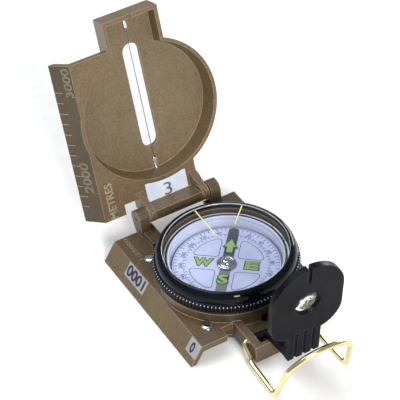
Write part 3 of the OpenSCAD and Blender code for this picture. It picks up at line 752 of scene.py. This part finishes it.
def dial():
    r = (CARD_HI.x - CARD_LO.x) / 2
    bm = bmesh.new()
    lathe(bm, [(1.32, -0.4), (r - 0.1, -0.4), (r, -0.3), (r, -0.1), (r - 0.1, 0),
               (1.32, 0)], 180, DIAL)
    place(finish_mesh("dial_disc", bm, CARD), "dial", "dial_print", "dial_card")

    bm = bmesh.new()
    for q in range(4):
        turn = DIAL @ Matrix.Rotation(math.radians(90 * q), 4, "Z")
        prism(bm, quadrant(), 0, 0.05, turn, 0)
        band(bm, quadrant(), quadrant(0.16), 0, 0.08, turn, 1)
    place(finish_mesh("dial_windows", bm, [CARD_WINDOW, INK]), "dial", "dial_print")

    bm = bmesh.new()
    for k in range(72):
        turn = DIAL @ Matrix.Rotation(math.radians(5 * k), 4, "Z")
        inner = 16.75 if k % 2 == 0 else 17.2
        wide = 0.13 if k % 2 == 0 else 0.10
        prism(bm, [(-wide, inner), (wide, inner), (wide, 18.1), (-wide, 18.1)], 0, 0.04, turn)
    for k in range(64):
        turn = DIAL @ Matrix.Rotation(math.radians(360 / 64 * k), 4, "Z")
        inner = 13.85 if k % 4 == 0 else 14.2
        prism(bm, [(-0.12, inner), (0.12, inner), (0.12, 14.95), (-0.12, 14.95)], 0, 0.04,
              turn)
    for r0 in (18.12, 14.93):
        lathe(bm, [(r0, 0), (r0 + 0.1, 0), (r0 + 0.1, 0.04), (r0, 0.04)], 160, DIAL)
    for k in range(18):
        turn = DIAL @ Matrix.Rotation(math.radians(-20 * k), 4, "Z")
        text = str(20 * k)
        glyphs(bm, text, 0.9 * len(text), 1.3, 0.04,
               turn @ Matrix.Translation((0, 15.85, 0)), 0.01)
    place(finish_mesh("dial_scale", bm, SCALE_INK), "dial", "dial_print")

    bm = bmesh.new()
    letter_outlined(bm, "W", 6.5, 4.0, -8.2, 0.2)
    letter_outlined(bm, "E", 4.8, 4.1, 8.75, 0.35)
    letter_outlined(bm, "S", 3.7, 4.6, -0.05, -7.7, 0.3)
    arrow = [(-1.05, 5.4), (1.05, 5.4), (1.05, 8.2), (2.2, 8.2), (0, 12.2), (-2.2, 8.2),
             (-1.05, 8.2)]
    lift = DIAL @ Matrix.Translation((0, 0, 0.5))
    prism(bm, arrow, 0.04, 0.12, lift, 0)
    prism(bm, grown(arrow, 0.3), 0.02, 0.07, lift, 1)
    place(finish_mesh("dial_letters", bm, [LIME, INK]), "dial", "dial_print")

    repaint("jewel_cup", BRASS)


def magnet():
    """The bar magnet, dark towards north and pale towards south."""
    half, end, t = 1.8, 16.2, 0.5
    bm = bmesh.new()
    north = [(-half, 0.0)] + [(half, 0.0)] + arc(0, end, half, 0, 180, 14)
    south = [(x, -y) for x, y in north][::-1]
    prism(bm, north, 0.0, t, DIAL, 0)
    prism(bm, south, 0.0, t - 0.2, DIAL, 1)
    lathe(bm, [(0, t), (0.42, t), (0.42, t + 0.06), (0, t + 0.06)], 24,
          DIAL @ Matrix.Translation((0, 16.6, 0)))
    place(finish_mesh("magnet_bar", bm, [MAGNET, MAGNET_PALE]), "dial", "magnet_grey",
          "bar_magnet")


def hub():
    bm = bmesh.new()
    lathe(bm, [(1.3, 0.5), (3.0, 0.5), (3.3, 0.62), (3.36, 0.85), (3.2, 1.02), (2.7, 1.1),
               (2.5, 1.0), (2.2, 1.0), (2.0, 1.15), (1.95, 1.6), (1.75, 1.95), (1.3, 2.3),
               (0.9, 2.42), (0.72, 2.36), (0.6, 2.2), (0.35, 2.18), (0, 2.25),
               (0, 1.4), (1.3, 1.4)], 96, DIAL)
    place(finish_mesh("hub_dome", bm, POLISHED, 40), "dial", "bright_steel", "hub_cap")


def capsule():
    """The white cup, with a fine ledge under its rim, and its clear window."""
    repaint("capsule_window", WINDOW)
    repaint("capsule_seal", RUBBER)
    bm = bmesh.new()
    lathe(bm, [(0, 5.2), (21.4, 5.2), (21.6, 5.4), (21.6, 14.3), (21.5, 14.4), (20.98, 14.4),
               (20.98, 13.92), (20.22, 13.92), (20.22, 14.4), (19.8, 14.38), (19.62, 14.2),
               (19.6, 12.6), (19.45, 12.5), (19.4, 12.2), (19.4, 8.6), (19.2, 8.4),
               (19.0, 6.6), (18.8, 6.4), (0, 6.4)], 180)
    place(finish_mesh("capsule_shell", bm, WHITE), "base", "white_plastic", "capsule_cup")


# ------------------------------------------------------------------ small metal parts

def screws():
    for k, (sx, sy) in enumerate(((-1, -1), (1, -1), (-1, 1), (1, 1))):
        bm = bmesh.new()
        spot = (Matrix.Translation((sx * SCREW_AT, sy * SCREW_AT, PLATE_TOP))
                @ Matrix.Rotation(math.radians(37 + 55 * k), 4, "Z"))
        lathe(bm, [(0, -6.7), (0.8, -6.7), (0.8, 0), (2.06, 0.0), (2.1, 0.14), (2.04, 0.34),
                   (1.8, 0.56), (1.4, 0.76), (0.95, 0.86), (0.45, 0.88), (0, 0.88)], 48, spot)
        # raised walls either side of a crossed recess
        for quarter in range(4):
            turn = spot @ Matrix.Rotation(math.radians(90 * quarter), 4, "Z")
            prism(bm, [(0.2, 0.2), (1.15, 0.2), (0.85, 0.85), (0.2, 1.15)], 0.5, 0.9, turn)
        place(finish_mesh(f"cover_screw_{k + 1}", bm, POLISHED), "base", "bright_steel",
              "cover_screws")


def small_metal():
    for node in ("bezel_spring", "bezel_retainer", "pivot_post", "hinge_pin", "bracket_pin"):
        repaint(node, STEEL)
    repaint("sighting_wire", WIRE)
    wire_w = DISH_FLOOR_W + 0.25
    bore, radius, lead = 0.2, 0.95, 0.2
    for name, node, u0, u1 in (("ferrule_low", "lower_ferrule", 9.0, 14.6),
                               ("ferrule_high", "upper_ferrule", 64.3, 67.4)):
        bm = bmesh.new()
        spot = LID @ axes(Vector((0, -u0, wire_w)), Vector((1, 0, 0)),
                          Vector((0, 0, 1)), Vector((0, -1, 0)))
        length = u1 - u0
        lathe(bm, [(bore, 0), (radius - lead, 0), (radius, lead), (radius, length - lead),
                   (radius - lead, length), (bore, length)], 32, spot)
        place(finish_mesh(name, bm, FERRULE), "lid", "bright_steel", node)


# ------------------------------------------------------------------ lens bracket

def bracket():
    copy_of("lens_bracket", "bracket_shell", BRACKET, "bracket", "bracket_black")
    repaint("lens_retainer", BRACKET)
    repaint("sight_lens", LENS)


# ------------------------------------------------------------------ thumb loop

def thumb_loop():
    """One bent wire: two ends in the rails, a jog each side, and a bowed crossbar."""
    hw, corner_y, corner_z = 13.7, -53.2, 1.1
    hook_in, hook_dy, hook_dz, bow = 1.6, 5.2, 14.4, 6.6
    wire_r, bend, spacing = 1.05, 1.8, 0.7
    reach = math.hypot(hook_dy, hook_dz)

    def side(s):
        return [Vector((s * 10.1, PIVOT.y, PIVOT.z)), Vector((s * 12.5, PIVOT.y, PIVOT.z)),
                Vector((s * 12.5, -36.4, 2.6)), Vector((s * 13.3, -37.4, 1.9)),
                Vector((s * hw, corner_y, corner_z))]

    def bar(t):
        rise = bow * (1 - abs(t) ** 2.5)
        return Vector((t * (hw - hook_in), corner_y - hook_dy - rise * hook_dy / reach,
                       corner_z + hook_dz + rise * hook_dz / reach))

    cross = [bar(-1 + 2 * i / 24) for i in range(25)]
    path = rounded_path(side(-1) + cross + side(1)[::-1], bend)
    dense = []
    for a, b in zip(path, path[1:]):
        parts = max(1, round((b - a).length / spacing))
        dense += [a + (b - a) * (k / parts) for k in range(parts)]
    bm = bmesh.new()
    sweep(bm, dense + [path[-1]], wire_r, 24)
    place(finish_mesh("thumb_wire", bm, BRASS, 60), "loop", "polished_brass", "thumb_loop")


# ------------------------------------------------------------------ studio

def floor():
    bm = bmesh.new()
    bmesh.ops.create_grid(bm, x_segments=4, y_segments=4, size=3000)
    mat = moulded("pale_floor", (0.86, 0.86, 0.86), (0.90, 0.90, 0.90), (0.7, 0.8),
                  fleck=60, texture=0.02)
    obj = finish_mesh("floor", bm, mat)
    obj.location.z = -0.0002


def light(name, location, target, size, power, colour=(1, 1, 1)):
    lamp = bpy.data.lights.new(name, "AREA")
    lamp.shape = "RECTANGLE"
    lamp.size, lamp.size_y = size
    lamp.energy = power
    lamp.color = colour
    obj = bpy.data.objects.new(name, lamp)
    scene.collection.objects.link(obj)
    obj.location = location
    aim = Vector(target) - Vector(location)
    obj.rotation_euler = aim.to_track_quat("-Z", "Y").to_euler()


def studio():
    world = bpy.data.worlds.new("studio")
    world.use_nodes = True
    world.node_tree.nodes["Background"].inputs["Color"].default_value = (0.95, 0.97, 1.0, 1)
    world.node_tree.nodes["Background"].inputs["Strength"].default_value = 0.38
    scene.world = world
    middle = (0, 0.01, 0.02)
    light("key", (-0.15, -0.85, 0.50), middle, (0.30, 0.30), 9.5, (1, 0.98, 0.95))
    light("top", (-0.15, 0.35, 0.95), middle, (0.8, 0.8), 8.0, (0.95, 0.97, 1.0))
    light("window", (0.80, 0.42, 0.20), middle, (0.35, 0.25), 4.0, (1.0, 0.98, 0.94))
    scene.view_settings.view_transform = "Standard"
    scene.view_settings.look = "None"


def camera():
    """Long lens, above and to the left of the front."""
    azimuth, elevation, roll = (math.radians(a) for a in (-28.33, 41.73, -3.04))
    target = Vector((-0.26, 16.16, 27.58)) * MM
    distance = 663.78 * MM
    back = Vector((math.sin(azimuth) * math.cos(elevation),
                   -math.cos(azimuth) * math.cos(elevation), math.sin(elevation)))
    right = (-back).cross(Vector((0, 0, 1))).normalized()
    up = right.cross(-back)
    right, up = (math.cos(roll) * right + math.sin(roll) * up,
                 -math.sin(roll) * right + math.cos(roll) * up)
    data = bpy.data.cameras.new("camera")
    data.sensor_width = 36.0
    data.lens = 175.1
    data.clip_start = 0.02
    obj = bpy.data.objects.new("camera", data)
    scene.collection.objects.link(obj)
    obj.matrix_world = axes(target + distance * back, right, up, back)
    scene.camera = obj


camera()
castings()
raised_marks()
labels()
bezel()
dial()
magnet()
hub()
capsule()
screws()
small_metal()
bracket()
thumb_loop()
floor()
studio()
